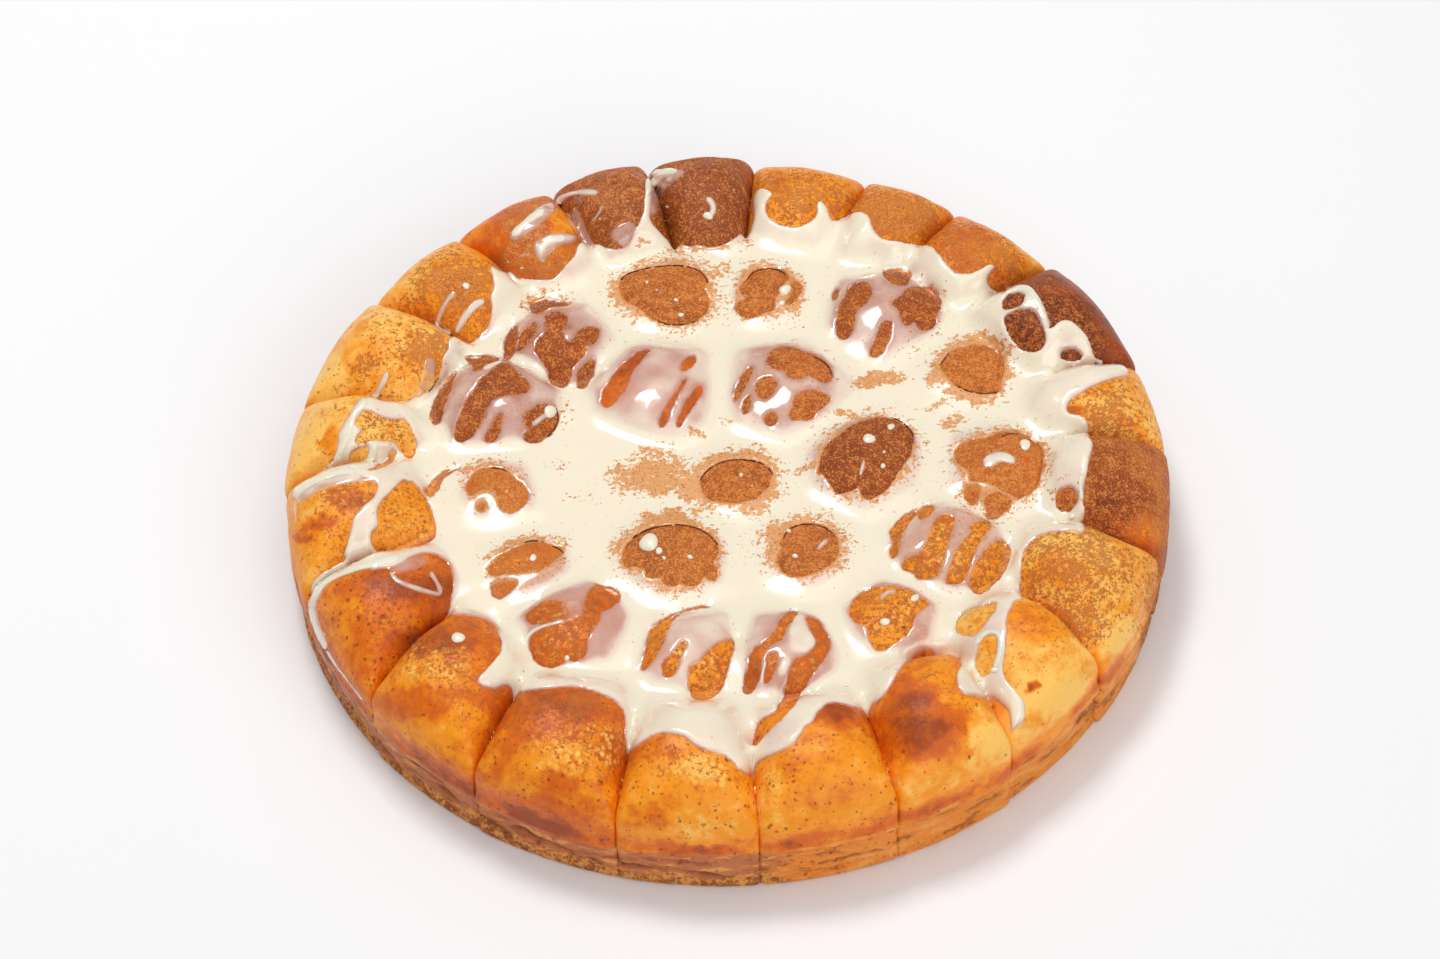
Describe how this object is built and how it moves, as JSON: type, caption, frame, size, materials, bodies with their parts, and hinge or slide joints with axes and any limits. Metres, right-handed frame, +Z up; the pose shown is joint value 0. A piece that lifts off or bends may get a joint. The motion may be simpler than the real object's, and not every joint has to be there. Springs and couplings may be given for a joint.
{
  "type": "pull-apart bread",
  "caption": "Round flat pull-apart bread of small rolls baked together, dusted with cinnamon, with pale icing over its middle.",
  "frame": {"origin": "middle of the flat base, on the surface that the bread stands on", "axes": "+Z up through the crust and icing, -Y towards the front of the picture, +X to its right"},
  "size_m": [0.2517, 0.2514, 0.0435],
  "materials": {
    "crust": "satin",
    "icing": "gloss"
  },
  "bodies": {
    "root": {"bread": "crust", "icing": "icing"}
  },
  "joints": []
}
